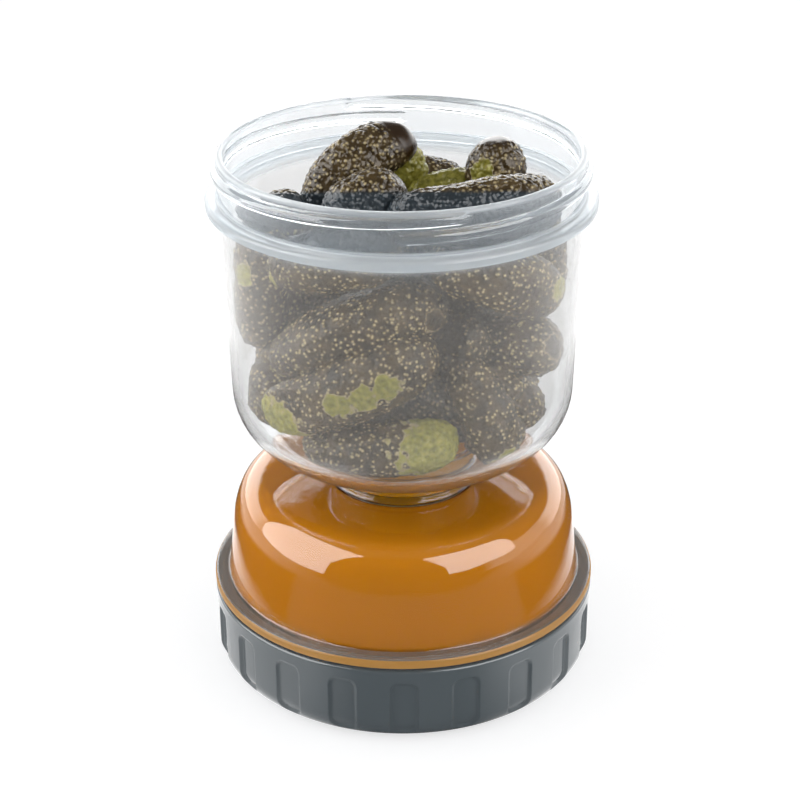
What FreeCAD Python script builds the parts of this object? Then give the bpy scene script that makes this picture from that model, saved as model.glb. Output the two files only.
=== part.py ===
import FreeCAD, Part

# Hourglass keeper for pickles: a deep clear chamber for the food stands, mouth up, on a shallower
# clear chamber that holds the brine.  The two screw together at a waist with a strainer in it, and a
# grey screw lid closes the lower mouth and serves as the foot.  Turned over, the brine runs through
# the strainer and covers the food.  Millimetres, +Z up, origin at the centre of the lid's flat
# underside.

import math
import os

from FreeCAD import Vector

AXIS = Vector(0, 0, 1)
ORIGIN = Vector(0, 0, 0)

# --- driving dimensions -----------------------------------------------------------------------
WALL = 1.9                   # moulded wall of both clear chambers
CLEARANCE = 0.3              # between the two halves at the waist's shoulder
SHARP_EDGE = 0.3             # roundings of moulded edges, from the crispest to the softest
FINE_EDGE = 0.6
FLANGE_EDGE = 0.8
SOFT_EDGE = 1.2

# base lid
LID_RADIUS = 60.0
LID_HEIGHT = 25.8
LID_DRAFT = 0.25             # how much narrower the lid is at its foot
LID_FOOT_ROUND = 8.1
LID_BORE = 57.4
LID_FLOOR = 2.4
LID_SHELF = 4.4              # height of the ring shelf that carries the gasket
LID_SHELF_INNER = 50.5
LID_WELL_RADIUS = 48.5       # foot of the slope from the shelf to the floor
LID_WELL_ROUND = 0.8

# arch-topped grip panels sunk into the lid's side
PANEL_COUNT = 20
PANEL_DEPTH = 0.7
PANEL_WIDTH = 9.0
PANEL_TOP = 21.6
PANEL_FOOT = 3.2
PANEL_TOP_ROUND = 3.4
PANEL_FOOT_ROUND = 1.5
PANEL_FIRST_DEG = -90.0

# lid gasket
GASKET_THICKNESS = 2.0
GASKET_INNER = 51.2
GASKET_OUTER = 56.9

# flanges that stop the lids
FLANGE_THICKNESS = 3.1
FLANGE_GAP = 0.85            # daylight between the lid's edge and the lower flange
LOWER_FLANGE_RADIUS = 60.0
UPPER_FLANGE_RADIUS = 57.5

# lower chamber: mouth down, side wall, two-radius shoulder, flat crown
LOWER_MOUTH_RADIUS = 55.2
LOWER_MOUTH_BORE = 53.3
LOWER_BORE_BEND = 10.0       # rounding where the straight bore turns into the drafted wall
LOWER_WALL_RADIUS = 55.4
LOWER_SHOULDER = (52.9, 51.8, 25.0)    # radius, height, rounding
LOWER_CROWN_EDGE = (48.5, 61.2, 9.5)

# waist
WAIST_RADIUS = 22.5
WAIST_FILLET = 3.0
COLLAR_HEIGHT = 2.0          # of the lower chamber's collar above its crown
COLLAR_FILLET = 1.4
SOCKET_BORE = 20.0
SOCKET_OUTER = 21.8
LEDGE_BORE = 15.0
LEDGE_TOP = 53.2
LEDGE_THICKNESS = 1.6
NECK_GASKET_THICKNESS = 1.5
NECK_GASKET_INNER = 15.4
NECK_GASKET_OUTER = 18.8
STRAINER_RADIUS = 18.6
STRAINER_RIM = 1.6           # thickness of the rim that is clamped
STRAINER_RIM_INNER = 16.2
STRAINER_WEB = 1.1
STRAINER_HOLE_RADIUS = 1.1
STRAINER_HOLE_PITCH = 4.2
STRAINER_RINGS = 3
SPIGOT_RADIUS = 18.5
SPIGOT_BORE = 16.7
THROAT_BORE = 20.5           # inside of the waist above the spigot
THROAT_ROUND = 2.0

# upper chamber: bowl, slightly tapered side, open mouth
UPPER_BOWL_EDGE = (51.35, 74.9, 20.4)
UPPER_BOWL_FOOT = 71.6       # height at which the bowl meets the waist
UPPER_WALL_RADIUS = 53.8
UPPER_FLANGE_FOOT = 150.7
UPPER_MOUTH_RADIUS = 54.0
UPPER_MOUTH_BORE = 51.7
UPPER_RIM = 166.5
UPPER_RIM_ROUND = 1.1

# Each hollow moulding is drawn as two or three simple shapes that meet face to face.
LID_SPLIT_RADIUS = 47.0      # flat floor disc within, ring with the shelf and the side around it
DOME_SPLIT = 50.0            # height: side wall below, shoulder and crown above, socket in the crown
BOWL_SPLIT = 93.0            # height: bowl and waist below, tapered side above

# heights that follow
RIM_FOOT = LID_SHELF + GASKET_THICKNESS
LOWER_FLANGE_FOOT = LID_HEIGHT + FLANGE_GAP
LOWER_FLANGE_TOP = LOWER_FLANGE_FOOT + FLANGE_THICKNESS
CROWN = LOWER_CROWN_EDGE[1]
COLLAR_TOP = CROWN + COLLAR_HEIGHT
STRAINER_FOOT = LEDGE_TOP + NECK_GASKET_THICKNESS
SPIGOT_FOOT = STRAINER_FOOT + STRAINER_RIM
SHOULDER_FOOT = COLLAR_TOP + CLEARANCE
UPPER_FLANGE_TOP = UPPER_FLANGE_FOOT + FLANGE_THICKNESS


# --- helpers ----------------------------------------------------------------------------------
def bend(before, corner, after):
    """The directions back and ahead from a corner, their bisector and half the angle between."""
    here, back, ahead = (Vector(r, 0, z) for r, z, _ in (corner, before, after))
    back = (back - here).normalize()
    ahead = (ahead - here).normalize()
    return here, back, ahead, (back + ahead).normalize(), back.getAngle(ahead) / 2


def rounded_face(corners):
    """A face in the XZ plane from (radius, height, rounding) corners, each rounding a tangent arc."""
    arcs = []
    for before, corner, after in zip(corners[-1:] + corners, corners, corners[1:] + corners[:1]):
        here, back, ahead, bisector, half_angle = bend(before, corner, after)
        rounding = corner[2]
        reach = rounding / math.tan(half_angle)
        middle = here + bisector * (rounding / math.sin(half_angle) - rounding)
        arcs.append((here + back * reach, middle, here + ahead * reach))
    edges = []
    for (start, middle, end), (following, _, _), corner, after in zip(
            arcs, arcs[1:] + arcs[:1], corners, corners[1:] + corners[:1]):
        if corner[2] > 0:
            edges.append(Part.Arc(start, middle, end).toShape())
        run = Vector(after[0] - corner[0], 0, after[1] - corner[1])
        if run.dot(following - end) < 0:
            raise ValueError(f"the roundings at {corner} and {after} do not fit between them")
        if end.distanceToPoint(following) > 1e-6:
            edges.append(Part.makeLine(end, following))
    return Part.Face(Part.Wire(edges))


def inset(before, corner, after, depth):
    """A convex outside corner drawn in by a wall's depth, its rounding kept concentric."""
    here, _, _, bisector, half_angle = bend(before, corner, after)
    inner = here + bisector * (depth / math.sin(half_angle))
    return inner.x, inner.z, corner[2] - depth


def turned(corners):
    """The solid of revolution of an outline about the keeper's axis."""
    return rounded_face(corners).revolve(ORIGIN, AXIS, 360)


def ring(inner, outer, foot, top, rounding):
    """A plain ring with rounded edges."""
    return turned([(inner, foot, rounding), (outer, foot, rounding),
                   (outer, top, rounding), (inner, top, rounding)])


def between(solid, foot, top):
    """The part of a solid that lies between two heights."""
    reach = 2 * LID_RADIUS
    return solid.common(Part.makeBox(2 * reach, 2 * reach, top - foot, Vector(-reach, -reach, foot)))


# --- pieces: each gives its nodes by name -------------------------------------------------------
def grip_panel():
    """The cutter for one grip panel: an arch-topped prism, hollowed to the panel's sunken face."""
    half = PANEL_WIDTH / 2
    beyond = 2 * LID_RADIUS
    arch = rounded_face([(-half, PANEL_FOOT, PANEL_FOOT_ROUND), (half, PANEL_FOOT, PANEL_FOOT_ROUND),
                         (half, PANEL_TOP, PANEL_TOP_ROUND), (-half, PANEL_TOP, PANEL_TOP_ROUND)])
    prism = arch.extrude(Vector(0, -beyond, 0))
    core = turned(lid_side(PANEL_DEPTH))
    return prism.cut(core)


def lid_side(depth):
    """The lid's outer form, drawn in by a depth."""
    return [(0, depth, 0), (LID_RADIUS - LID_DRAFT - depth, depth, LID_FOOT_ROUND - depth),
            (LID_RADIUS - depth, LID_HEIGHT, 0), (0, LID_HEIGHT, 0)]


def base_lid():
    outer = [(0, 0, 0), (LID_RADIUS - LID_DRAFT, 0, LID_FOOT_ROUND), (LID_RADIUS, LID_HEIGHT, FLANGE_EDGE)]
    inner = [(LID_BORE, LID_HEIGHT, FINE_EDGE), (LID_BORE, LID_SHELF, 0),
             (LID_SHELF_INNER, LID_SHELF, FINE_EDGE), (LID_WELL_RADIUS, LID_FLOOR, LID_WELL_ROUND),
             (0, LID_FLOOR, 0)]
    cutter = grip_panel()
    panels = []
    for i in range(PANEL_COUNT):
        panel = cutter.copy()
        panel.rotate(ORIGIN, AXIS, PANEL_FIRST_DEG + 90 + i * 360 / PANEL_COUNT)
        panels.append(panel)
    whole = turned(outer + inner).cut(panels)
    disc = Part.makeCylinder(LID_SPLIT_RADIUS, LID_SHELF)
    return {"base_lid": whole.cut(disc), "base_lid_floor": whole.common(disc)}


def lid_gasket():
    return {"lid_gasket": ring(GASKET_INNER, GASKET_OUTER, LID_SHELF, RIM_FOOT, SHARP_EDGE)}


def lower_chamber():
    wall_foot = (LOWER_WALL_RADIUS, LOWER_FLANGE_TOP, FLANGE_EDGE)
    crown_inner = (WAIST_RADIUS, CROWN, COLLAR_FILLET)
    outside = [(LOWER_MOUTH_BORE, RIM_FOOT, FINE_EDGE), (LOWER_MOUTH_RADIUS, RIM_FOOT, FINE_EDGE),
               (LOWER_MOUTH_RADIUS, LOWER_FLANGE_FOOT, 0),
               (LOWER_FLANGE_RADIUS, LOWER_FLANGE_FOOT, FLANGE_EDGE),
               (LOWER_FLANGE_RADIUS, LOWER_FLANGE_TOP, SOFT_EDGE), wall_foot, LOWER_SHOULDER,
               LOWER_CROWN_EDGE, crown_inner, (WAIST_RADIUS, COLLAR_TOP, SHARP_EDGE)]
    inside = [(SOCKET_BORE, COLLAR_TOP, 0), (SOCKET_BORE, LEDGE_TOP, 0), (LEDGE_BORE, LEDGE_TOP, 0),
              (LEDGE_BORE, LEDGE_TOP - LEDGE_THICKNESS, 0),
              (SOCKET_OUTER, LEDGE_TOP - LEDGE_THICKNESS, 0), (SOCKET_OUTER, CROWN - WALL, 0),
              inset(LOWER_SHOULDER, LOWER_CROWN_EDGE, crown_inner, WALL),
              inset(wall_foot, LOWER_SHOULDER, LOWER_CROWN_EDGE, WALL),
              (LOWER_MOUTH_BORE, LOWER_FLANGE_TOP, LOWER_BORE_BEND)]
    whole = turned(outside + inside)
    crown = between(whole, DOME_SPLIT, COLLAR_TOP)
    core = Part.makeCylinder(SOCKET_OUTER, COLLAR_TOP)
    return {"lower_chamber": between(whole, RIM_FOOT, DOME_SPLIT),
            "lower_chamber_crown": crown.cut(core), "lower_chamber_socket": crown.common(core)}


def neck_gasket():
    return {"neck_gasket": ring(NECK_GASKET_INNER, NECK_GASKET_OUTER, LEDGE_TOP, STRAINER_FOOT, SHARP_EDGE)}


def strainer():
    """A rimmed disc with rings of round holes about a centre hole."""
    rim_top = STRAINER_FOOT + STRAINER_RIM
    web_top = STRAINER_FOOT + STRAINER_WEB
    disc = turned([(0, STRAINER_FOOT, 0), (STRAINER_RADIUS, STRAINER_FOOT, SHARP_EDGE),
                   (STRAINER_RADIUS, rim_top, SHARP_EDGE), (STRAINER_RIM_INNER, rim_top, 0),
                   (STRAINER_RIM_INNER - STRAINER_RIM + STRAINER_WEB, web_top, 0), (0, web_top, 0)])
    holes = []
    for ring_index in range(STRAINER_RINGS + 1):
        count = max(1, 6 * ring_index)
        for i in range(count):
            angle = 2 * math.pi * i / count
            place = Vector(ring_index * STRAINER_HOLE_PITCH * math.cos(angle),
                           ring_index * STRAINER_HOLE_PITCH * math.sin(angle), STRAINER_FOOT)
            holes.append(Part.makeCylinder(STRAINER_HOLE_RADIUS, STRAINER_RIM, place))
    return {"strainer": disc.cut(holes)}


def upper_chamber():
    bowl_foot = (WAIST_RADIUS, UPPER_BOWL_FOOT, WAIST_FILLET)
    wall_top = (UPPER_WALL_RADIUS, UPPER_FLANGE_FOOT, FINE_EDGE)
    outside = [(SPIGOT_BORE, SPIGOT_FOOT, 0), (SPIGOT_RADIUS, SPIGOT_FOOT, 0),
               (SPIGOT_RADIUS, SHOULDER_FOOT, 0), (WAIST_RADIUS, SHOULDER_FOOT, SHARP_EDGE),
               bowl_foot, UPPER_BOWL_EDGE, wall_top, (UPPER_FLANGE_RADIUS, UPPER_FLANGE_FOOT, FLANGE_EDGE),
               (UPPER_FLANGE_RADIUS, UPPER_FLANGE_TOP, SOFT_EDGE),
               (UPPER_MOUTH_RADIUS, UPPER_FLANGE_TOP, FINE_EDGE),
               (UPPER_MOUTH_RADIUS, UPPER_RIM, UPPER_RIM_ROUND)]
    inside = [(UPPER_MOUTH_BORE, UPPER_RIM, UPPER_RIM_ROUND),
              inset(bowl_foot, UPPER_BOWL_EDGE, wall_top, WALL),
              (THROAT_BORE, UPPER_BOWL_FOOT + WALL, THROAT_ROUND), (THROAT_BORE, SHOULDER_FOOT + WALL, 0),
              (SPIGOT_BORE, SHOULDER_FOOT + WALL, 0)]
    whole = turned(outside + inside)
    return {"upper_chamber": between(whole, BOWL_SPLIT, UPPER_RIM),
            "upper_chamber_bowl": between(whole, SPIGOT_FOOT, BOWL_SPLIT)}


os.makedirs("parts", exist_ok=True)
for piece in (base_lid, lid_gasket, lower_chamber, neck_gasket, strainer, upper_chamber):
    for node, solid in piece().items():
        solid.exportStep(f"parts/{node}.step")
        print(node, solid.isValid(), len(solid.Solids), round(solid.Volume / 1000, 2), "cm3")
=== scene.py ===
import math

import bmesh
import bpy
from mathutils import Matrix, Vector, noise


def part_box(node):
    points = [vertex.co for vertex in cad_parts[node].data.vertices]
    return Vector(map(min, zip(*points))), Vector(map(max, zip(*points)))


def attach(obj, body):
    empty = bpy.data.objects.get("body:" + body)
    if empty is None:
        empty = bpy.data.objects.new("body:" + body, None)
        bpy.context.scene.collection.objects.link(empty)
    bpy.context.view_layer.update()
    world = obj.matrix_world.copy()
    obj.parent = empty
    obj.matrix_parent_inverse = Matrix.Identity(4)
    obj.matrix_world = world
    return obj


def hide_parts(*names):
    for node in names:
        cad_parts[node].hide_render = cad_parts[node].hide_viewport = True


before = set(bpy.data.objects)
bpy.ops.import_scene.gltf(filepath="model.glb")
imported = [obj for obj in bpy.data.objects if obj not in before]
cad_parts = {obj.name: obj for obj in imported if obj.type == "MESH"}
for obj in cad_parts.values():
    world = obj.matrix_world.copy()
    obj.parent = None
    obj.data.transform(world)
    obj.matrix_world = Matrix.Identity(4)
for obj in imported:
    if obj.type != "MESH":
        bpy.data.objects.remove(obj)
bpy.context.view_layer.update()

MM = 0.001
TURN = 2 * math.pi

# --- sizes, in millimetres, read off the frame where the frame has them ------------------------
def top_of(node):
    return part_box(node)[1][2] / MM


def foot_of(node):
    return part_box(node)[0][2] / MM


LID_RADIUS = 60.0
LID_HEIGHT = top_of("base_lid")
LID_DRAFT = 0.25
LID_FOOT_ROUND = 8.1
LID_BORE = 57.4
LID_SHELF = foot_of("lid_gasket")
LID_SHELF_INNER = 50.5
LID_WELL_RADIUS = 48.5
LID_FLOOR = 2.4
GASKET_INNER = 51.2
PANEL_COUNT = 20
PANEL_WIDTH = 9.0
PANEL_DEPTH = 1.1
PANEL_TOP = 21.6
PANEL_FOOT = 3.2
PANEL_ROUND = 3.0
PANEL_EDGE = 0.7
PANEL_FIRST = math.radians(-90)

WALL = 1.9
# the dome's shoulder and the chamber's bowl, as a corner's (radius, height, rounding)
SHOULDER_OUTSIDE = (52.9, 51.8, 25.0)
SHOULDER_INSIDE = (51.05, 51.28, 23.1)
CROWN_INSIDE_RADIUS = 47.3
CROWN_INSIDE_ROUND = 7.6
BOWL_INSIDE = (49.45, 76.8, 18.5)
BOWL_OUTSIDE = (51.35, 74.9, 20.4)
SOCKET_RADIUS = 21.8
SOCKET_BORE = 20.0
LEDGE_BORE = 15.0
SPIGOT_RADIUS = 18.5
SPIGOT_BORE = 16.7
NECK_RADIUS = 22.5
NECK_BORE = 20.5
UPPER_MOUTH_BORE = 51.7
UPPER_FLANGE_RADIUS = 57.5
LOWER_FLANGE_RADIUS = 60.0
RIM_FOOT = top_of("lid_gasket")
COLLAR_TOP = top_of("lower_chamber_crown")
CROWN = COLLAR_TOP - 2.0
LEDGE_TOP = foot_of("neck_gasket")
LEDGE_FOOT = foot_of("neck_gasket") - 1.6
FLANGE = 3.1
LOWER_FLANGE_TOP = 29.75
SPIGOT_FOOT = top_of("strainer")
SHOULDER_FOOT = 63.5
UPPER_FLANGE_TOP = 153.8
UPPER_RIM = top_of("upper_chamber")
UPPER_MOUTH_RADIUS = 54.0
LOWER_MOUTH_RADIUS = 55.2
LOWER_MOUTH_BORE = 53.3
NECK_BRINE_TOP = 72.8
BRINE_GAP = 0.05

THREAD_LEAD = 9.0
THREAD_WRAP = math.radians(197)
THREAD_START = math.radians(-90)
UPPER_BEAD = {"height": 1.65, "half_width": 1.7, "start": 159.2, "from": THREAD_START, "wrap": THREAD_WRAP}
LOWER_BEAD = {"height": 1.5, "half_width": 1.4, "start": 14.0, "from": THREAD_START, "wrap": THREAD_WRAP}
# the lid's ridges run inward, half a pitch above the beads they hold
LID_RIDGE = {"height": -1.3, "half_width": 0.6, "start": 16.9, "from": math.radians(-65),
             "wrap": math.radians(130)}

ROUND_STEPS = 192


# --- small tools -------------------------------------------------------------------------------
def linear(code):
    """An sRGB hex colour as linear RGBA."""
    parts = [int(code[i:i + 2], 16) / 255 for i in (1, 3, 5)]
    return tuple(c / 12.92 if c <= 0.04045 else ((c + 0.055) / 1.055) ** 2.4 for c in parts) + (1.0,)


def add(material, kind, links=(), **settings):
    """Adds one shader node: settings go to its properties or sockets, links to its inputs."""
    tree = material.node_tree
    node = tree.nodes.new("ShaderNode" + kind)
    for name, value in settings.items():
        if hasattr(node, name):
            setattr(node, name, value)
        else:
            node.inputs[name.replace("_", " ")].default_value = value
    for socket, source in dict(links).items():
        tree.links.new(source, node.inputs[socket])
    return node


def new_material(name):
    material = bpy.data.materials.new(name)
    material.use_nodes = True
    material.node_tree.nodes.clear()
    return material


def finish_material(material, surface, volume=None):
    links = {"Surface": surface}
    if volume is not None:
        links["Volume"] = volume
    add(material, "OutputMaterial", links)
    return material


def piece_from(bm, name, body, material, replaces=()):
    """Turns a bmesh in millimetres into a smooth-shaded piece that rides on a body."""
    bmesh.ops.scale(bm, vec=(MM, MM, MM), verts=bm.verts)
    for face in bm.faces:
        face.smooth = True
    mesh = bpy.data.meshes.new(name)
    bm.to_mesh(mesh)
    bm.free()
    mesh.materials.append(material)
    piece = bpy.data.objects.new(name, mesh)
    bpy.context.scene.collection.objects.link(piece)
    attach(piece, body)
    if replaces:
        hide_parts(*replaces)
    return piece


def rounded(corners, closed=True, arc_step=0.12, run_step=2.5):
    """Points along an outline of (radius, height, rounding) corners, with tangent arcs."""
    points = [Vector((r, 0, z)) for r, z, _ in corners]
    count = len(corners)
    path = []
    for i, (_, _, rounding) in enumerate(corners):
        here = points[i]
        if rounding == 0:
            path.append(here)
            continue
        back = (points[i - 1] - here).normalized()
        ahead = (points[(i + 1) % count] - here).normalized()
        half_angle = back.angle(ahead) / 2
        centre = here + (back + ahead).normalized() * (rounding / math.sin(half_angle))
        start = here + back * (rounding / math.tan(half_angle)) - centre
        sweep = math.pi - 2 * half_angle
        turn_axis = start.cross(here + ahead * (rounding / math.tan(half_angle)) - centre).normalized()
        steps = max(3, round(sweep / arc_step))
        for k in range(steps + 1):
            path.append(centre + Matrix.Rotation(sweep * k / steps, 3, turn_axis) @ start)
    dense = []
    for point, following in zip(path, path[1:] + path[:1] if closed else path[1:]):
        runs = max(1, round((following - point).length / run_step))
        dense += [point.lerp(following, k / runs) for k in range(runs)]
    return dense if closed else dense + path[-1:]


def spun(corners, closed=True, steps=ROUND_STEPS, **spacing):
    """A solid of revolution about the keeper's axis: a sixteenth is spun, then doubled four times."""
    bm = bmesh.new()
    ring = [bm.verts.new(p) for p in rounded(corners, closed, **spacing)]
    pairs = list(zip(ring, ring[1:] + ring[:1] if closed else ring[1:]))
    edges = [bm.edges.new(pair) for pair in pairs]
    bmesh.ops.spin(bm, geom=ring + edges, cent=(0, 0, 0), axis=(0, 0, 1), angle=TURN / 16, steps=steps // 16)
    for share in (16, 8, 4, 2):
        copy = bmesh.ops.duplicate(bm, geom=bm.verts[:] + bm.edges[:] + bm.faces[:])
        verts = [part for part in copy["geom"] if isinstance(part, bmesh.types.BMVert)]
        bmesh.ops.rotate(bm, verts=verts, cent=(0, 0, 0), matrix=Matrix.Rotation(TURN / share, 3, "Z"))
    bmesh.ops.remove_doubles(bm, verts=bm.verts, dist=1e-4)
    return facing_out(bm)


def facing_out(bm):
    """Makes a closed bmesh's faces look outward."""
    bmesh.ops.recalc_face_normals(bm, faces=bm.faces)
    if bm.calc_volume(signed=True) < 0:
        bmesh.ops.reverse_faces(bm, faces=bm.faces)
    return bm


def fine_run(radius, start, end, step=0.3):
    """Corners close enough together along an upright wall for relief to be raised on it."""
    count = round(abs(end - start) / step)
    return [(radius, start + (end - start) * k / count, 0) for k in range(1, count)]


# --- materials ---------------------------------------------------------------------------------
def lamp_light_passes(material, shader, tint):
    """Lets lamp light through a clear wall, tinted, so that what is inside is lit."""
    path = add(material, "LightPath")
    clear = add(material, "BsdfTransparent", Color=linear(tint))
    return add(material, "MixShader", {0: path.outputs["Is Shadow Ray"], 1: shader.outputs[0],
                                       2: clear.outputs[0]}).outputs[0]


def moulding_ripple(material, depth):
    """The slow waviness of a moulded face, which makes reflections ragged at their edges."""
    place = add(material, "TexCoord")
    wave = add(material, "TexNoise", {"Vector": place.outputs["Object"]}, Scale=1 / (9 * MM), Detail=2.0)
    return add(material, "Bump", {"Height": wave.outputs[0]}, Strength=1.0, Distance=depth * MM).outputs[0]


def clarified_polypropylene(name, milk, veil_colour, milk_at=None):
    # Injection-moulded clear polypropylene: glossy, grey along an edge, where the eye looks down the
    # length of the wall, and milky where its faces are dry, most of all at the bluish flange and rim.
    material = new_material(name)
    ripple = moulding_ripple(material, 0.06)
    clear = add(material, "BsdfPrincipled", {"Normal": ripple}, Base_Color=linear("#FCFDFE"), Roughness=0.02,
                IOR=1.49, Transmission_Weight=1.0)
    near = add(material, "BsdfDiffuse", Color=linear(veil_colour))
    through = add(material, "BsdfTranslucent", Color=linear(veil_colour))
    # the haze; in the flange edge's copy it is amber, a painted glow of brine light
    veil = add(material, "MixShader", {1: near.outputs[0], 2: through.outputs[0]}, Fac=0.45)
    shader = add(material, "MixShader", {1: clear.outputs[0], 2: veil.outputs[0]}, Fac=milk)
    if milk_at:
        place = add(material, "TexCoord")
        height = add(material, "SeparateXYZ", {0: place.outputs["Object"]}).outputs["Z"]
        climb = add(material, "MapRange", {"Value": height}, From_Min=milk_at[0][0] * MM,
                    From_Max=milk_at[-1][0] * MM)
        share = add(material, "ValToRGB", {0: climb.outputs[0]})
        for _ in milk_at[2:]:
            share.color_ramp.elements.new(0.5)
        for stop, (level, milkiness) in zip(share.color_ramp.elements, milk_at):
            stop.position = (level - milk_at[0][0]) / (milk_at[-1][0] - milk_at[0][0])
            stop.color = (milkiness, milkiness, milkiness, 1)
        mouth = add(material, "MapRange", {"Value": height}, From_Min=(UPPER_FLANGE_TOP - 8) * MM,
                    From_Max=(UPPER_FLANGE_TOP - 3) * MM)
        tint = add(material, "Mix", {0: mouth.outputs[0]}, data_type="RGBA")
        tint.inputs[6].default_value, tint.inputs[7].default_value = linear(veil_colour), linear(MOUTH_VEIL)
        for socket in (near.inputs["Color"], through.inputs["Color"]):
            material.node_tree.links.new(tint.outputs[2], socket)
        material.node_tree.links.new(share.outputs[0], shader.inputs[0])
    edge = add(material, "VolumeAbsorption", Color=linear("#CBD2D6"), Density=30.0)
    return finish_material(material, lamp_light_passes(material, shader, "#F4F7F9"), edge.outputs[0])


def wetted_face():
    # The inner face of the clear wall where brine touches it: light bends only a little there.
    material = new_material("clarified polypropylene, face under brine")
    ripple = moulding_ripple(material, 0.03)
    shader = add(material, "BsdfPrincipled", {"Normal": ripple}, Base_Color=linear("#FDFDFD"), Roughness=0.0,
                 IOR=1.11, Transmission_Weight=1.0)
    return finish_material(material, lamp_light_passes(material, shader, "#FAFAFA"))


def pickling_brine(name, amber, cloudiness):
    # Cloudy vinegar brine: amber near its surface and deeper inside. Its IOR is 1, because the wall's
    # wetted face already bends the light as it passes from plastic into brine.
    material = new_material(name)
    near = add(material, "BsdfDiffuse", Color=linear(amber))
    through = add(material, "BsdfTranslucent", Color=linear(amber))
    cloud = add(material, "MixShader", {1: near.outputs[0], 2: through.outputs[0]}, Fac=0.3)
    clear = add(material, "BsdfPrincipled", Base_Color=linear("#FFFFFF"), Roughness=0.0, IOR=1.0,
                Transmission_Weight=1.0)
    shader = add(material, "MixShader", {1: clear.outputs[0], 2: cloud.outputs[0]}, Fac=cloudiness)
    depth = add(material, "VolumeAbsorption", Color=linear("#E9D73B"), Density=60.0)
    return finish_material(material, lamp_light_passes(material, shader, "#F3D79A"), depth.outputs[0])


def grey_polypropylene():
    # Injection-moulded polypropylene: even mid grey, satin. Its mould texture is finer than shows, and
    # is drawn coarse enough to break the gloss a little.
    material = new_material("grey polypropylene, satin moulded")
    place = add(material, "TexCoord")
    grain = add(material, "TexNoise", {"Vector": place.outputs["Object"]}, Scale=1 / (0.6 * MM), Detail=3.0)
    relief = add(material, "Bump", {"Height": grain.outputs[0], "Normal": moulding_ripple(material, 0.12)},
                 Strength=0.1, Distance=0.04 * MM)
    cloud = add(material, "TexNoise", {"Vector": place.outputs["Object"]}, Scale=1 / (45 * MM), Detail=2.0)
    tone = add(material, "ValToRGB", {0: cloud.outputs[0]})
    tone.color_ramp.elements[0].color = linear("#50575B")
    tone.color_ramp.elements[1].color = linear("#5A6266")
    shader = add(material, "BsdfPrincipled", {"Base Color": tone.outputs[0], "Normal": relief.outputs[0]},
                 Roughness=0.14, IOR=1.49)
    return finish_material(material, shader.outputs[0])


def silicone():
    # Moulded translucent silicone: milky, soft sheen, a little light carried inside. Its grain is
    # drawn coarser than it is.
    material = new_material("milky silicone, moulded")
    place = add(material, "TexCoord")
    grain = add(material, "TexNoise", {"Vector": place.outputs["Object"]}, Scale=1 / (1.2 * MM), Detail=2.0)
    relief = add(material, "Bump", {"Height": grain.outputs[0]}, Strength=0.1, Distance=0.05 * MM)
    shader = add(material, "BsdfPrincipled", {"Normal": relief.outputs[0]}, Base_Color=linear("#D9DBD8"),
                 Roughness=0.5, IOR=1.41)
    shader.inputs["Subsurface Weight"].default_value = 0.3
    shader.inputs["Subsurface Radius"].default_value = (1.5 * MM, 1.3 * MM, 1.2 * MM)
    shader.inputs["Subsurface Scale"].default_value = 1.0
    return finish_material(material, shader.outputs[0])


def studio_floor():
    # Seamless white paper: matt, white to the eye and through clear plastic wherever no shadow falls.
    # A glossy face mirrors a patch round the foot, a dim ring and a bright sweep beyond, whose levels
    # are set apart from what the eye sees.
    material = new_material("white studio paper")
    path = add(material, "LightPath").outputs
    paper = add(material, "BsdfDiffuse", Color=linear("#F4F4F6"))
    place = add(material, "TexCoord").outputs["Object"]
    across = add(material, "SeparateXYZ", {0: place}).outputs
    aside = add(material, "Math", {0: across["X"]}, operation="SUBTRACT")
    aside.inputs[1].default_value = WEDGE_ASIDE
    aside = add(material, "Math", {0: aside.outputs[0]}, operation="ABSOLUTE")
    reach = add(material, "VectorMath", {0: place}, operation="LENGTH").outputs["Value"]
    level = None
    for spread, softness, front, sides, start, end in MIRRORED_RINGS:
        past = add(material, "Math", {0: across["Y"], 2: aside.outputs[0]}, operation="MULTIPLY_ADD")
        past.inputs[1].default_value = spread
        ring = add(material, "MapRange", {"Value": past.outputs[0]}, From_Min=-softness, From_Max=softness,
                   To_Min=front, To_Max=sides)
        if level is not None:
            beyond = add(material, "MapRange", {"Value": reach}, From_Min=start, From_Max=end)
            ring = add(material, "Mix", {0: beyond.outputs[0], 2: level, 3: ring.outputs[0]},
                       data_type="FLOAT")
        level = ring.outputs[0]
    mirrored = add(material, "Emission", {"Strength": level}, Color=(1, 1, 1, 1))
    light = add(material, "MixShader", {0: path["Is Glossy Ray"], 1: paper.outputs[0],
                                        2: mirrored.outputs[0]})
    shaded = add(material, "BsdfDiffuse", Color=(0.5, 0.5, 0.5, 1))
    white = add(material, "Emission", Color=(0.64, 0.64, 0.645, 1))
    shown = add(material, "AddShader", {0: shaded.outputs[0], 1: white.outputs[0]})
    seen = add(material, "Math", {0: path["Is Camera Ray"], 1: path["Is Transmission Ray"]},
               operation="MAXIMUM")
    both = add(material, "MixShader", {0: seen.outputs[0], 1: light.outputs[0], 2: shown.outputs[0]})
    return finish_material(material, both.outputs[0])


# each ring of paper as a glossy face mirrors it: how wide its front wedge spreads, how soft the
# wedge's edge is, how bright the wedge and the sides are, and between which reaches in metres the
# ring takes over from the last
MIRRORED_RINGS = [(0.62, 0.018, 0.12, 1.5, 0, 0), (2.1, 0.012, 0.45, 0.08, 0.112, 0.125),
                  (2.1, 0.35, 0.12, 1.6, 0.20, 0.27)]
WEDGE_ASIDE = 0.006
# how bright the paper sweep round the keeper and the backdrop behind it are to a glossy face
MIRRORED_SWEEP = 2.2
MIRRORED_BACKDROP = 4.3
# the haze of dry plastic and of the mouth, and the flange's edge, whose amber is painted light that
# stands for the brine's glow carried along the plastic
DRY_VEIL = "#C2BBB3"
MOUTH_VEIL = "#EAF0F4"
EDGE_VEIL = "#FFC26E"
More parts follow.
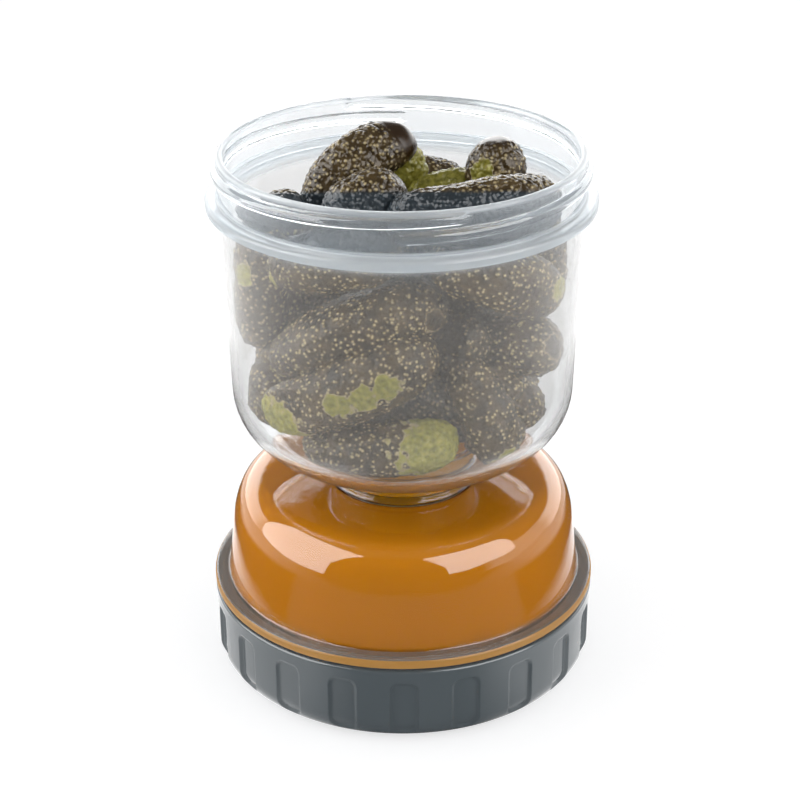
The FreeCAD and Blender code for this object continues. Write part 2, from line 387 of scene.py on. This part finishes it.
# how milky the food chamber is at each height in millimetres: clear where brine wets the bowl's floor,
# whitest in the flange and at the rim
MILK_AT = [(72, 0.01), (84, 0.11), (148, 0.12), (150.3, 0.5), (153.9, 0.5), (154.8, 0.11), (164.6, 0.11),
           (165.6, 0.4)]
CLEAR = clarified_polypropylene("clarified polypropylene, dry", 0.12, DRY_VEIL, milk_at=MILK_AT)
DRY_FLANGE = clarified_polypropylene("clarified polypropylene, dry flange", 0.36, DRY_VEIL)
# painted light: the flange's outer edge is milky plastic coloured amber, a painted glow of the brine
LIT_EDGE = clarified_polypropylene("clarified polypropylene, edge with painted brine glow", 0.7, EDGE_VEIL)
STRAINER = clarified_polypropylene("clarified polypropylene, strainer", 0.15, DRY_VEIL)
WET = clarified_polypropylene("clarified polypropylene, wetted by brine", 0.01, DRY_VEIL)
WETTED_FACE = wetted_face()
BRINE = pickling_brine("vinegar brine, cloudy amber", "#DC8A0C", 0.66)
# painted light: the waist's brine is a brighter copy of the same brine
NECK_BRINE = pickling_brine("vinegar brine, painted brighter in the waist", "#FFB204", 0.85)
GREY = grey_polypropylene()
SILICONE = silicone()


# --- clear chambers ----------------------------------------------------------------------------
def raise_thread(bm, wall_radius, bead, zone):
    """Raises a two-start thread on an upright wall: round-backed beads with rounded ends."""
    low, high = zone
    for vert in bm.verts:
        radius = math.hypot(vert.co.x, vert.co.y)
        if not (low < vert.co.z < high and abs(radius - wall_radius) < 0.02):
            continue
        angle = math.atan2(vert.co.y, vert.co.x)
        lift = 0.0
        for start in (bead["from"], bead["from"] + math.pi):
            along = (angle - start + 0.5) % TURN - 0.5
            inside = min(max(along, 0.0), bead["wrap"])
            across = vert.co.z - bead["start"] - THREAD_LEAD * inside / TURN
            beyond = (along - inside) * wall_radius
            reach = math.hypot(across, beyond) / bead["half_width"]
            if reach < 1:
                lift = bead["height"] * math.sqrt(1 - reach ** 2.4)
        vert.co.x *= 1 + lift / radius
        vert.co.y *= 1 + lift / radius


def upper_chamber():
    thread_zone = (156.8, UPPER_RIM - 0.7)
    bm = spun([
        (SPIGOT_BORE, SPIGOT_FOOT, 0.3), (SPIGOT_RADIUS, SPIGOT_FOOT, 0.3),
        (SPIGOT_RADIUS, SHOULDER_FOOT, 0.4), (NECK_RADIUS, SHOULDER_FOOT, 0.5), (NECK_RADIUS, 71.6, 3.0),
        BOWL_OUTSIDE, (53.8, UPPER_FLANGE_TOP - FLANGE, 0.6),
        (UPPER_FLANGE_RADIUS, UPPER_FLANGE_TOP - FLANGE, 0.8),
        (UPPER_FLANGE_RADIUS, UPPER_FLANGE_TOP, 1.2), (UPPER_MOUTH_RADIUS, UPPER_FLANGE_TOP, 0.6)]
        + fine_run(UPPER_MOUTH_RADIUS, 156.8, UPPER_RIM - 1.2)
        + [(UPPER_MOUTH_RADIUS, UPPER_RIM, 1.1), (UPPER_MOUTH_BORE, UPPER_RIM, 1.1), BOWL_INSIDE,
           (NECK_BORE, 73.5, 2.0), (NECK_BORE, SHOULDER_FOOT + WALL, 0.8),
           (SPIGOT_BORE, SHOULDER_FOOT + WALL, 0.5)])
    raise_thread(bm, UPPER_MOUTH_RADIUS, UPPER_BEAD, thread_zone)
    for face in bm.faces:
        place = face.calc_center_median()
        if place.z < NECK_BRINE_TOP and face.normal.xy.dot(place.xy) < -0.2 * place.xy.length:
            face.material_index = 1
    chamber = piece_from(bm, "food_chamber", "food_half", CLEAR,
                         ["upper_chamber", "upper_chamber_bowl"])
    chamber.data.materials.append(WETTED_FACE)
    return chamber


def lower_chamber():
    thread_zone = (RIM_FOOT + 0.9, 22.0)
    bm = spun([
        (LOWER_MOUTH_BORE, RIM_FOOT, 0.6), (LOWER_MOUTH_RADIUS, RIM_FOOT, 0.6)]
        + fine_run(LOWER_MOUTH_RADIUS, 11.6, 22.0)
        + [(LOWER_MOUTH_RADIUS, LOWER_FLANGE_TOP - FLANGE, 0.6),
           (LOWER_FLANGE_RADIUS, LOWER_FLANGE_TOP - FLANGE, 0.8),
           (LOWER_FLANGE_RADIUS, LOWER_FLANGE_TOP, 1.2), (55.4, LOWER_FLANGE_TOP, 0.8), SHOULDER_OUTSIDE,
           (48.5, CROWN, 9.5), (NECK_RADIUS, CROWN, 1.4), (NECK_RADIUS, COLLAR_TOP, 0.5),
           (SOCKET_BORE, COLLAR_TOP, 0.4), (SOCKET_BORE, LEDGE_TOP, 0.3), (LEDGE_BORE, LEDGE_TOP, 0.4),
           (LEDGE_BORE, LEDGE_FOOT, 0.4), (SOCKET_RADIUS, LEDGE_FOOT, 0.8),
           (SOCKET_RADIUS, CROWN - WALL, 1.5), (CROWN_INSIDE_RADIUS, CROWN - WALL, CROWN_INSIDE_ROUND),
           SHOULDER_INSIDE, (LOWER_MOUTH_BORE, LOWER_FLANGE_TOP, 10.0)])
    raise_thread(bm, LOWER_MOUTH_RADIUS, LOWER_BEAD, thread_zone)
    for face in bm.faces:
        place = face.calc_center_median()
        towards_axis = face.normal.xy.dot(place.xy) < -0.2 * place.xy.length
        if towards_axis or (face.normal.z < -0.2 and place.z > LEDGE_FOOT - 0.1):
            face.material_index = 1
        # the flange's outer edge takes the painted amber glow
        elif place.xy.length > LOWER_FLANGE_RADIUS - 0.4:
            face.material_index = 3
        elif place.xy.length > 55.6:
            face.material_index = 2
    dome = piece_from(bm, "brine_dome", "brine_half", WET,
                      ["lower_chamber", "lower_chamber_crown", "lower_chamber_socket"])
    for material in (WETTED_FACE, DRY_FLANGE, LIT_EDGE):
        dome.data.materials.append(material)
    return dome


def brine():
    # The liquid stops a hair short of the wall: the wall's own wetted face bends the light.
    gap = BRINE_GAP
    bm = spun([
        (0, LID_FLOOR + gap, 0), (LID_WELL_RADIUS - gap, LID_FLOOR + gap, 0.8),
        (LID_SHELF_INNER - gap, LID_SHELF + gap, 0), (GASKET_INNER - gap, LID_SHELF + gap, 0),
        (GASKET_INNER - gap, RIM_FOOT + gap, 0), (LOWER_MOUTH_BORE - gap, RIM_FOOT + 0.7, 0),
        (LOWER_MOUTH_BORE - gap, LOWER_FLANGE_TOP, 10.0), (SHOULDER_INSIDE[0] - gap, *SHOULDER_INSIDE[1:]),
        (CROWN_INSIDE_RADIUS, CROWN - WALL - gap, CROWN_INSIDE_ROUND),
        (SOCKET_RADIUS + gap, CROWN - WALL - gap, 1.4), (SOCKET_RADIUS + gap, LEDGE_FOOT - gap, 0.7),
        (LEDGE_BORE - gap, LEDGE_FOOT - gap, 0.3), (LEDGE_BORE - gap, LEDGE_TOP, 0.3), (0, LEDGE_TOP, 0)],
        closed=False)
    return piece_from(bm, "brine", "brine_half", BRINE)


def neck_brine():
    # Brine stands in the waist too, above the strainer. Its brighter amber and cloudier share are painted
    # light, standing for light that comes through it from behind.
    gap = BRINE_GAP
    bm = spun([
        (0, SPIGOT_FOOT + gap, 0), (SPIGOT_BORE - gap, SPIGOT_FOOT + gap, 0.3),
        (SPIGOT_BORE - gap, SHOULDER_FOOT + WALL - gap, 0),
        (NECK_BORE - gap, SHOULDER_FOOT + WALL + gap, 0.3), (NECK_BORE - gap, NECK_BRINE_TOP, 0.2),
        (0, NECK_BRINE_TOP, 0)], closed=False)
    return piece_from(bm, "neck_brine", "food_half", NECK_BRINE)


# --- grey screw lid ----------------------------------------------------------------------------
def panel_sink(across, height):
    """How deep the lid's side is drawn in at a place: arch-topped panels with soft edges."""
    beyond_side = abs(across) - PANEL_WIDTH / 2 + PANEL_ROUND
    beyond_end = abs(height - (PANEL_TOP + PANEL_FOOT) / 2) - (PANEL_TOP - PANEL_FOOT) / 2 + PANEL_ROUND
    outside = math.hypot(max(beyond_side, 0.0), max(beyond_end, 0.0))
    edge = outside + min(max(beyond_side, beyond_end), 0.0) - PANEL_ROUND
    share = min(max(-edge / PANEL_EDGE, 0.0), 1.0)
    return PANEL_DEPTH * share ** 2 * (3 - 2 * share)


def sink_panels(bm):
    """Crowds the columns of faces towards the panels' upright edges and presses the panels in."""
    crowding = 0.7
    pitch = TURN / PANEL_COUNT
    for vert in bm.verts:
        radius = math.hypot(vert.co.x, vert.co.y)
        angle = math.atan2(vert.co.y, vert.co.x)
        angle += crowding * math.sin(2 * PANEL_COUNT * (angle - PANEL_FIRST)) / (2 * PANEL_COUNT)
        if radius > LID_BORE + 0.4:
            across = ((angle - PANEL_FIRST + pitch / 2) % pitch - pitch / 2) * LID_RADIUS
            radius -= panel_sink(across, vert.co.z)
        vert.co.x = radius * math.cos(angle)
        vert.co.y = radius * math.sin(angle)


def base_lid():
    foot_radius = LID_RADIUS - LID_DRAFT
    bm = spun([(0, 0, 0), (foot_radius, 0, LID_FOOT_ROUND)]
              + fine_run(foot_radius + LID_DRAFT / 2, LID_FOOT_ROUND + 0.4, LID_HEIGHT - 1.2, 0.5)
              + [(LID_RADIUS, LID_HEIGHT, 0.8), (LID_BORE, LID_HEIGHT, 0.6)]
              + fine_run(LID_BORE, 22.6, 14.6, 0.35)
              + [(LID_BORE, LID_SHELF, 0), (LID_SHELF_INNER, LID_SHELF, 0.6),
                 (LID_WELL_RADIUS, LID_FLOOR, 0.8), (0, LID_FLOOR, 0)],
              closed=False, steps=640, arc_step=0.08, run_step=12.0)
    raise_thread(bm, LID_BORE, LID_RIDGE, (14.6, 22.6))
    sink_panels(bm)
    return piece_from(bm, "screw_lid", "foot", GREY, ["base_lid", "base_lid_floor"])


upper_chamber()
lower_chamber()
brine()
neck_brine()
base_lid()

for node, material in (("lid_gasket", SILICONE), ("neck_gasket", SILICONE), ("strainer", STRAINER)):
    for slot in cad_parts[node].material_slots:
        slot.material = material


# --- gherkins ----------------------------------------------------------------------------------
def ringed_patch(material, skin, attribute, patch, rim):
    """Lays a ragged patch with a pale rim over the skin, where a vertex attribute is above nought."""
    place = add(material, "TexCoord").outputs["Object"]
    ragged = add(material, "TexNoise", {"Vector": place}, Scale=1 / (3.2 * MM), Detail=4.0)
    depth = add(material, "Attribute", attribute_name=attribute)
    edge = add(material, "Math", {0: ragged.outputs[0], 2: depth.outputs["Fac"]}, operation="MULTIPLY_ADD")
    edge.inputs[1].default_value = 1.1
    ring = add(material, "MapRange", {"Value": edge.outputs[0]}, From_Min=0.78, From_Max=0.82)
    inside = add(material, "MapRange", {"Value": edge.outputs[0]}, From_Min=0.84, From_Max=0.90)
    outlined = add(material, "Mix", {0: ring.outputs[0], 6: skin}, data_type="RGBA")
    outlined.inputs[7].default_value = linear(rim)
    return add(material, "Mix", {0: inside.outputs[0], 6: outlined.outputs[2], 7: patch},
               data_type="RGBA").outputs[2]


def gherkin_skin():
    # Pickled gherkin skin: wet, olive brown, pebbled with small warts, whose pale tips are partly their
    # own colour and partly painted highlight. It is yellow-green where the fruit lay on the ground, brown
    # at the blossom scar, and dark and smooth at some tips.
    # Slate is painted shade laid over it, in a layer at the mouth and where the heap is deep in shade.
    material = new_material("pickled gherkin skin, wet")
    place = add(material, "TexCoord").outputs["Object"]
    warts = add(material, "TexVoronoi", {"Vector": place}, feature="SMOOTH_F1", Scale=1 / (1.45 * MM),
                Smoothness=0.35)
    mottle = add(material, "TexNoise", {"Vector": place}, Scale=1 / (5 * MM), Detail=4.0)
    tone = add(material, "ValToRGB", {0: mottle.outputs[0]})
    tone.color_ramp.elements[0].position = 0.35
    tone.color_ramp.elements[0].color = linear("#281D0D")
    tone.color_ramp.elements[1].position = 0.68
    tone.color_ramp.elements[1].color = linear("#524226")
    # the warts' pale tips: partly their own paler colour, partly painted highlight
    tips = add(material, "MapRange", {"Value": warts.outputs["Distance"]}, From_Min=0.08, From_Max=0.42,
               To_Min=0.95, To_Max=0.0)
    pebbled = add(material, "Mix", {0: tips.outputs[0], 6: tone.outputs[0]}, data_type="RGBA")
    pebbled.inputs[7].default_value = linear("#C9B689")
    bald = add(material, "Attribute", attribute_name="bald").outputs["Fac"]
    smooth = add(material, "Mix", {0: bald, 6: pebbled.outputs[2]}, data_type="RGBA")
    smooth.inputs[7].default_value = linear("#2B1C0B")
    streak = add(material, "TexNoise", {"Vector": place}, Scale=1 / (1.6 * MM), Detail=3.0)
    ripe = add(material, "ValToRGB", {0: streak.outputs[0]})
    ripe.color_ramp.elements[0].position = 0.3
    ripe.color_ramp.elements[0].color = linear("#6B6722")
    ripe.color_ramp.elements[1].position = 0.7
    ripe.color_ramp.elements[1].color = linear("#A9A24A")
    blushed = ringed_patch(material, smooth.outputs[2], "blush", ripe.outputs[0], "#A79A72")
    scarred = ringed_patch(material, blushed, "scar", tone.outputs[0], "#9A8B6A")
    # painted shade: the skin turns slate as far as its slate attribute reaches
    slate = add(material, "Attribute", attribute_name="slate")
    dulled = add(material, "Mix", {0: slate.outputs["Fac"], 6: scarred}, data_type="RGBA")
    dulled.inputs[7].default_value = linear("#2C3338")
    height = add(material, "Math", {0: warts.outputs["Distance"], 1: bald}, operation="MAXIMUM")
    relief = add(material, "Bump", {"Height": height.outputs[0]}, invert=True, Strength=0.9,
                 Distance=0.6 * MM)
    shader = add(material, "BsdfPrincipled", {"Base Color": dulled.outputs[2], "Normal": relief.outputs[0]},
                 Roughness=0.24, IOR=1.42)
    shader.inputs["Specular IOR Level"].default_value = 0.32
    return finish_material(material, shader.outputs[0])


def depth_in(point, patches):
    """How deep a point lies in the nearest of some round patches, from 1 at a centre to 0 outside."""
    shares = [1 - (point - Vector(centre)).length / reach for centre, reach in patches]
    return max(shares + [0.0])


def slate_share(point):
    """How much the skin is painted slate, as shade: a layer at the mouth that dips towards the back,
    and the middle of the heap, where the slate stands for deep shade."""
    below = LAYER_TOP - LAYER_DIP * point.y - point.z
    layer = min(max(below, 0.0), 1.0) * min(max((point.z - LAYER_FOOT) / 3, 0.0), 1.0)
    depth = min(max((CORE_RADIUS - point.xy.length) / 8, 0.0), 1.0) * min(max(below / 12, 0.0), 1.0)
    return max(layer, CORE_SLATE * depth)


def pressed(point):
    """Keeps a point of the fruit inside the chamber: a gherkin flattens where it meets the wall."""
    bowl_radius, bowl_floor, bowl_round = BOWL_INSIDE
    climb = (point.z - bowl_floor) / (UPPER_RIM - bowl_floor)
    room = bowl_radius + (UPPER_MOUTH_BORE - bowl_radius) * climb - FRUIT_GAP
    drop = min(max(bowl_floor + bowl_round - point.z, 0.0), bowl_round)
    room -= bowl_round - math.sqrt(bowl_round ** 2 - drop ** 2)
    share = min(room / max(point.xy.length, 1e-6), 1.0)
    return Vector((point.x * share, point.y * share, max(point.z, bowl_floor + FLOOR_GAP)))


def gherkin(name, stem, blossom, thickness, bow=(0, 0, 0), blushes=(), scars=(), bald_tip=0.0, skin=(64, 80)):
    """A gherkin from tip to tip: blunt ends, a bow, three soft lobes and a pebbled skin."""
    stem, blossom, bow = Vector(stem), Vector(blossom), Vector(bow)
    length = (blossom - stem).length
    turn = (blossom - stem).to_track_quat("Z", "X").to_matrix()
    middle = (stem + blossom) / 2
    bm = bmesh.new()
    bmesh.ops.create_uvsphere(bm, u_segments=skin[0], v_segments=skin[1], radius=1)
    blush, scar, bald, slate = (bm.verts.layers.float.new(n) for n in ("blush", "scar", "bald", "slate"))
    for vert in bm.verts:
        along = math.copysign(abs(vert.co.z) ** BLUNTNESS, vert.co.z)
        girth = max(1 - vert.co.z ** 2, 0.0) ** (BLUNTNESS / 2)
        angle = math.atan2(vert.co.y, vert.co.x)
        lobes = 1 + 0.035 * math.cos(3 * angle + length)
        lobes += 0.05 * noise.noise(Vector((along * 1.5, length, 0)))
        radius = thickness / 2 * girth * lobes * (1 + 0.08 * along)
        spoke = Vector((math.cos(angle), math.sin(angle), 0))
        point = middle + turn @ (spoke * radius + Vector((0, 0, along * length / 2)))
        point += bow * (1 - along ** 2)
        smooth = min(max((along - 1 + bald_tip) / 0.15, 0.0), 1.0)
        wart = noise.voronoi(point / WART_SPACING)[0][0]
        lift = WART_HEIGHT * (0.5 - wart) * (1 - smooth) + 0.5 * noise.noise(point / 7.0)
        point += turn @ (spoke * girth + Vector((0, 0, along * (1 - girth)))).normalized() * lift
        vert.co = pressed(point)
        vert[blush], vert[scar] = depth_in(point, blushes), depth_in(point, scars)
        # slate: how much painted shade the skin takes here
        vert[bald], vert[slate] = smooth, slate_share(point)
    return piece_from(facing_out(bm), name, "food_half", SKIN)


BLUNTNESS = 0.72
WART_SPACING = 1.8
WART_HEIGHT = 0.7
# where the slate painted shade lies: under a plane at the mouth that dips towards the back, and in the heap's
# middle
LAYER_TOP = 153.8
LAYER_DIP = 0.3555
LAYER_FOOT = 146.0
CORE_RADIUS = 36.0
CORE_SLATE = 0.7
FRUIT_GAP = 0.6
FLOOR_GAP = 0.2
SKIN = gherkin_skin()

# stem tip, blossom tip, thickness, bow, then yellow blushes and brown scars as (centre, reach)
FRONT_GHERKINS = [
    ((-37, -25, 110), (12, -26, 131), 21, (-1, -4, 2), [((-37, -31, 106), 5)], [((9, -34, 127), 5)]),
    ((-39, -28, 95), (9, -36, 120), 20.5, (0, -4, 0), [((-38, -34, 92), 15), ((-4, -48, 112), 6),
                                                        ((-11, -47, 109), 6), ((-18, -46, 106), 6)], []),
    ((-29, -29, 85), (16, -33, 88), 17.5, (0, -4, 0), [((12, -40, 90), 19)], []),
    ((13, -20, 113), (29, -30, 79), 16, (2, -2, 1), [((30, -34, 82), 6)], []),
    ((9, -10, 112), (23, -24, 116), 15, (0, 0, 0), [], []),
    ((8, -31, 144), (44, -17, 128), 18.5, (1, -4, 2), [((42, -24, 133), 6)], []),
    ((16, -8, 108), (46, -17, 111), 18, (0, 0, 1), [], [((45, -22, 113), 6)]),
    ((41, -4, 148), (43, 6, 118), 15, (0, 0, 0), [], []),
    ((-41, -9, 150), (-41, -8, 108), 16, (0, -1, 0), [((-46, -16, 134), 5)], []),
    ((-37, -24, 139), (0, -29, 146), 18, (-1, -3, 1), [((-38, -31, 137), 5)], []),
    ((-41, -12, 108), (-22, 4, 101), 14, (0, 0, 0), [], []),
    ((-39, -4, 104), (-34, -12, 84), 18, (-1, -1, 0), [], []),
    ((22, -6, 104), (40, -12, 84), 16, (0, 0, 0), [], []),
    ((22, -14, 106), (33, -20, 95), 13, (0, 0, 0), [], [])]
TOP_GHERKINS = [
    ((-27, -14, 153), (3, 2, 170), 16.5, (-2, 0, 2), [], [], 0.45),
    ((30, 0, 132), (27.5, 2, 169), 18, (-1, 0, 0), [((23, -7, 161), 6)], [], 0.15),
    ((-4, -34, 158), (43, -22, 159), 18, (2, -3, 0), [], [], 0.0),
    ((-22, -25, 154), (2, -20, 159), 17, (0, 0, 2), [], [], 0.3),
    ((-40, -21, 155), (-27, -26, 156), 11, (0, 0, 1), [], [], 0.0),
    ((-45, -12, 153), (-37, -25, 153), 8, (0, 0, 0), [], [], 0.0),
    ((3, 12, 138), (1, 11, 164), 11, (0, 0, 0), [((2, 8, 156), 22)], [], 0.0),
    ((0, 2, 148), (25, 6, 152), 12, (0, 0, 2), [((12, 0, 154), 24)], [], 0.0)]
INNER_GHERKINS = [
    ((-22, 15, 84), (-18, 20, 130), 20), ((0, 8, 80), (3, 12, 128), 21), ((22, 18, 86), (20, 20, 134), 20),
    ((-30, 25, 125), (8, 32, 135), 18), ((33, 10, 98), (30, 18, 140), 17), ((0, 35, 92), (-2, 36, 138), 20),
    ((-33, 12, 100), (-34, 16, 145), 18), ((-15, 22, 150), (20, 25, 146), 17),
    ((-8, -14, 86), (-10, -8, 128), 18), ((10, -8, 132), (-12, 5, 140), 19),
    ((18, -8, 84), (12, -10, 112), 19), ((2, -14, 96), (30, -6, 100), 16), ((-24, -8, 86), (2, -10, 84), 16),
    ((26, 0, 104), (12, 2, 136), 19), ((38, 12, 90), (30, -4, 88), 15), ((-6, -22, 98), (24, -22, 96), 15),
    ((0, -12, 84), (34, -12, 86), 14), ((18, -22, 83), (36, -20, 86), 13),
    ((-30, 26, 92), (6, 38, 90), 17), ((8, 36, 86), (38, 18, 92), 17), ((-12, 38, 104), (24, 34, 106), 18),
    ((-38, 22, 110), (-8, 40, 116), 17), ((18, 38, 116), (40, 16, 116), 17),
    ((-42, 8, 88), (-34, 22, 108), 15), ((42, 8, 90), (36, 20, 110), 15)]


def fill_with_gherkins():
    for i, (stem, blossom, thickness, bow, blushes, scars) in enumerate(FRONT_GHERKINS):
        gherkin(f"gherkin_{i + 1:02d}", stem, blossom, thickness, bow, blushes, scars, skin=(96, 112))
    for i, row in enumerate(TOP_GHERKINS):
        gherkin(f"top_gherkin_{i + 1:02d}", *row, skin=(128, 160))
    for i, (stem, blossom, thickness) in enumerate(INNER_GHERKINS):
        gherkin(f"inner_gherkin_{i + 1:02d}", stem, blossom, thickness)


fill_with_gherkins()


# --- studio ------------------------------------------------------------------------------------
def floor():
    bm = bmesh.new()
    bmesh.ops.create_circle(bm, cap_ends=True, segments=64, radius=4.0 / MM)
    bmesh.ops.scale(bm, vec=(MM, MM, MM), verts=bm.verts)
    mesh = bpy.data.meshes.new("paper_floor")
    bm.to_mesh(mesh)
    bm.free()
    mesh.materials.append(studio_floor())
    paper = bpy.data.objects.new("paper_floor", mesh)
    bpy.context.scene.collection.objects.link(paper)


def softbox(name, direction, distance, width, height, radiance, mirrored_radiance=0.0):
    """A rectangular lamp that looks at the keeper's middle, and its bright face in glossy mouldings."""
    away = Vector(direction).normalized()
    place = Vector((0, 0, 0.06)) + away * distance
    lamp = bpy.data.lights.new(name, "AREA")
    lamp.shape = "RECTANGLE"
    lamp.size, lamp.size_y = width, height
    lamp.energy = radiance * math.pi * width * height
    box = bpy.data.objects.new(name, lamp)
    box.location = place
    box.rotation_euler = away.to_track_quat("Z", "Y").to_euler()
    box.visible_glossy = box.visible_transmission = False
    bpy.context.scene.collection.objects.link(box)
    if mirrored_radiance:
        softbox_face(name + "_face", place, away, width, height, mirrored_radiance)


def softbox_face(name, place, away, width, height, radiance):
    bm = bmesh.new()
    bmesh.ops.create_grid(bm, x_segments=1, y_segments=1, size=0.5)
    bmesh.ops.scale(bm, vec=(width, height, 1), verts=bm.verts)
    bmesh.ops.rotate(bm, verts=bm.verts, cent=(0, 0, 0), matrix=away.to_track_quat("Z", "Y").to_matrix())
    bmesh.ops.translate(bm, verts=bm.verts, vec=place)
    mesh = bpy.data.meshes.new(name)
    bm.to_mesh(mesh)
    bm.free()
    mesh.materials.append(lit_diffuser(radiance))
    face = bpy.data.objects.new(name, mesh)
    bpy.context.scene.collection.objects.link(face)


def lit_diffuser(radiance):
    # A softbox's white cloth, lit from behind: only glossy faces show it, more brightly than the lamp
    # in the same place lights them.
    material = new_material("softbox cloth, lit")
    glow = add(material, "Emission", Color=(1, 1, 1, 1), Strength=radiance)
    unseen = add(material, "BsdfTransparent", Color=(1, 1, 1, 1))
    path = add(material, "LightPath")
    shown = add(material, "MixShader", {0: path.outputs["Is Glossy Ray"], 1: unseen.outputs[0],
                                        2: glow.outputs[0]})
    material.cycles.emission_sampling = "NONE"
    return finish_material(material, shown.outputs[0])


def studio_world():
    # A pale sweep stands low behind and beside the keeper, brightest in its glossy faces; above it and
    # in front the room is dim.
    world = bpy.data.worlds.new("studio")
    world.use_nodes = True
    world.node_tree.nodes.clear()
    towards = add(world, "SeparateXYZ", {0: add(world, "TexCoord").outputs["Generated"]}).outputs
    behind = add(world, "MapRange", {"Value": towards["Y"]}, From_Min=-0.62, From_Max=-0.5).outputs[0]
    low = add(world, "MapRange", {"Value": towards["Z"]}, From_Min=0.92, From_Max=0.8)
    lighting = add(world, "Math", {0: behind, 1: low.outputs[0]}, operation="MULTIPLY")
    lighting = add(world, "MapRange", {"Value": lighting.outputs[0]}, To_Min=0.2, To_Max=1.0)
    sweep = add(world, "MapRange", {"Value": towards["Y"]}, From_Min=0.3, From_Max=0.5,
                To_Min=MIRRORED_SWEEP, To_Max=MIRRORED_BACKDROP)
    band = add(world, "MapRange", {"Value": towards["Z"], "To Min": sweep.outputs[0]}, From_Min=0.42,
               From_Max=0.46, To_Max=0.3)
    mirrored = add(world, "Mix", {0: behind, 3: band.outputs[0]}, data_type="FLOAT")
    mirrored.inputs[2].default_value = 0.12
    strength = add(world, "Mix", {0: add(world, "LightPath").outputs["Is Glossy Ray"],
                                  2: lighting.outputs[0], 3: mirrored.outputs[0]}, data_type="FLOAT")
    sky = add(world, "Background", {"Strength": strength.outputs[0]}, Color=(1, 1, 1, 1))
    add(world, "OutputWorld", {"Surface": sky.outputs[0]})
    bpy.context.scene.world = world


def camera():
    data = bpy.data.cameras.new("camera")
    data.sensor_width = 36.0
    data.lens = FOCAL_PIXELS * data.sensor_width / FRAME_PIXELS
    view = bpy.data.objects.new("camera", data)
    tilt = Matrix.Rotation(math.radians(90 - CAMERA_PITCH), 4, "X")
    roll = Matrix.Rotation(math.radians(-CAMERA_ROLL), 4, "Z")
    view.matrix_world = Matrix.Translation(Vector(CAMERA_PLACE) * MM) @ tilt @ roll
    bpy.context.scene.collection.objects.link(view)
    bpy.context.scene.camera = view


FRAME_PIXELS = 800
FOCAL_PIXELS = 1898.4
CAMERA_PLACE = (-0.82, -525.98, 340.79)
CAMERA_PITCH = 25.887
CAMERA_ROLL = 0.279

floor()
softbox("left_softbox", (-0.87, -0.20, 0.46), 1.0, 1.15, 1.25, 0.72, mirrored_radiance=8.0)
softbox("right_softbox", (0.66, -0.52, 0.50), 1.0, 0.95, 0.90, 0.72, mirrored_radiance=8.0)
softbox("front_fill", (0.0, -0.93, 0.37), 1.5, 1.8, 1.0, 1.1)
studio_world()
camera()

bpy.context.scene.view_settings.view_transform = "Standard"
